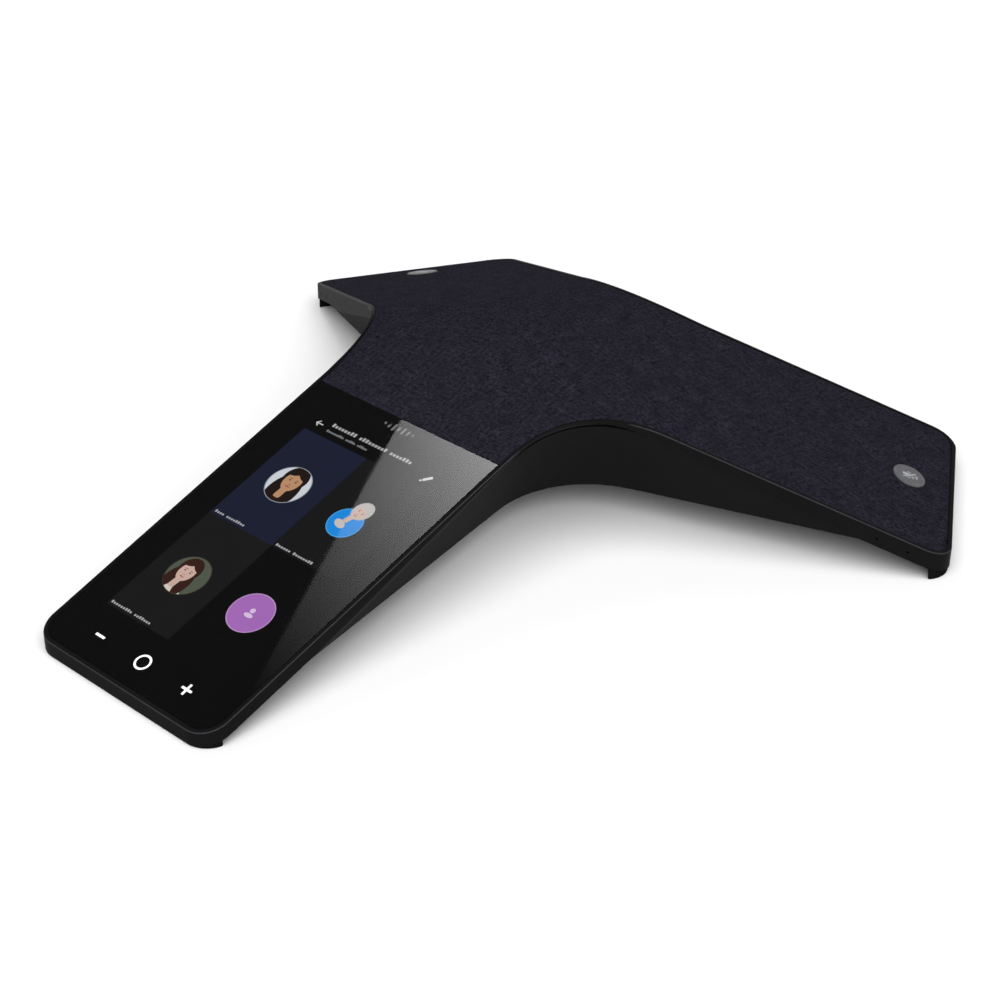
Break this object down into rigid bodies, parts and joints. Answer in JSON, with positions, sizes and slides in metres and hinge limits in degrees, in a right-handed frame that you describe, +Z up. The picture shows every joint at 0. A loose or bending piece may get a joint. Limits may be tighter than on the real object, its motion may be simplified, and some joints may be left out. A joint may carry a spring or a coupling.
{
  "type": "conference ip phone",
  "caption": "Low three-armed conference desk phone: sloping touch display on one arm, fabric-covered loudspeaker and microphone arms, round mute buttons, rear network and USB sockets.",
  "frame": {"origin": "on the table surface, under the centre of the outline's bounding box", "axes": "+Z up, -Y along the display arm towards the user, +X to the user's right"},
  "size_m": [0.3126, 0.3108, 0.0621],
  "materials": {
    "housing_plastic": "fine satin texture",
    "cover_plastic": "fine matt texture",
    "inner_plastic": "matt",
    "speaker_fabric": "woven, mottled dark navy grey",
    "cover_glass": "polished",
    "lcd_module": "gloss",
    "bracket_steel": "zinc plated",
    "jack_steel": "nickel plated",
    "socket_plastic": "matt",
    "circuit_board": "solder mask",
    "chip_resin": "matt",
    "flex_film": "polyimide film",
    "foot_rubber": "matt",
    "button_silver": "satin silver paint",
    "dome_steel": "bright",
    "speaker_steel": "black paint",
    "magnet_ferrite": "matt",
    "cone_paper": "pressed paper",
    "surround_rubber": "satin",
    "gasket_foam": "open-cell foam",
    "key_light": "clear",
    "screw_steel": "black zinc"
  },
  "bodies": {
    "phone": {"arm_board_left": "circuit_board", "arm_board_right": "circuit_board", "arm_flexes": "flex_film", "base_screws": "screw_steel", "board_chips": "chip_resin", "board_screws": "screw_steel", "bottom_cover": "cover_plastic", "display_bracket": "bracket_steel", "display_flex": "flex_film", "dust_cap": "cone_paper", "ethernet_jack": "socket_plastic", "fabric_cover": "speaker_fabric", "foot_front": "foot_rubber", "foot_left": "foot_rubber", "foot_right": "foot_rubber", "front_mic_boards": "circuit_board", "housing_frame": "housing_plastic", "key_board": "circuit_board", "key_lights": "key_light", "lcd_panel": "lcd_module", "main_board": "circuit_board", "mic_capsules": "jack_steel", "mute_domes": "dome_steel", "shield_can": "jack_steel", "speaker_basket": "speaker_steel", "speaker_cone": "cone_paper", "speaker_enclosure": "inner_plastic", "speaker_gasket": "gasket_foam", "speaker_grille": "inner_plastic", "speaker_magnet": "magnet_ferrite", "speaker_screws": "screw_steel", "speaker_surround": "surround_rubber", "touch_glass": "cover_glass", "usb_a_port": "jack_steel", "usb_c_port": "jack_steel", "wifi_antennas": "circuit_board"},
    "mute_button_right": {"mute_button_right": "button_silver"},
    "mute_button_left": {"mute_button_left": "button_silver"}
  },
  "joints": [
    {"name": "mute_press_right", "type": "slide", "parent": "phone", "child": "mute_button_right", "axis": [-0.301, -0.1808, -0.9363], "range_m": [0, 0.0005], "stiffness_N_per_m": 800, "springref_m": -0.0005},
    {"name": "mute_press_left", "type": "slide", "parent": "phone", "child": "mute_button_left", "axis": [0.301, -0.1808, -0.9363], "range_m": [0, 0.0005], "stiffness_N_per_m": 800, "springref_m": -0.0005}
  ]
}
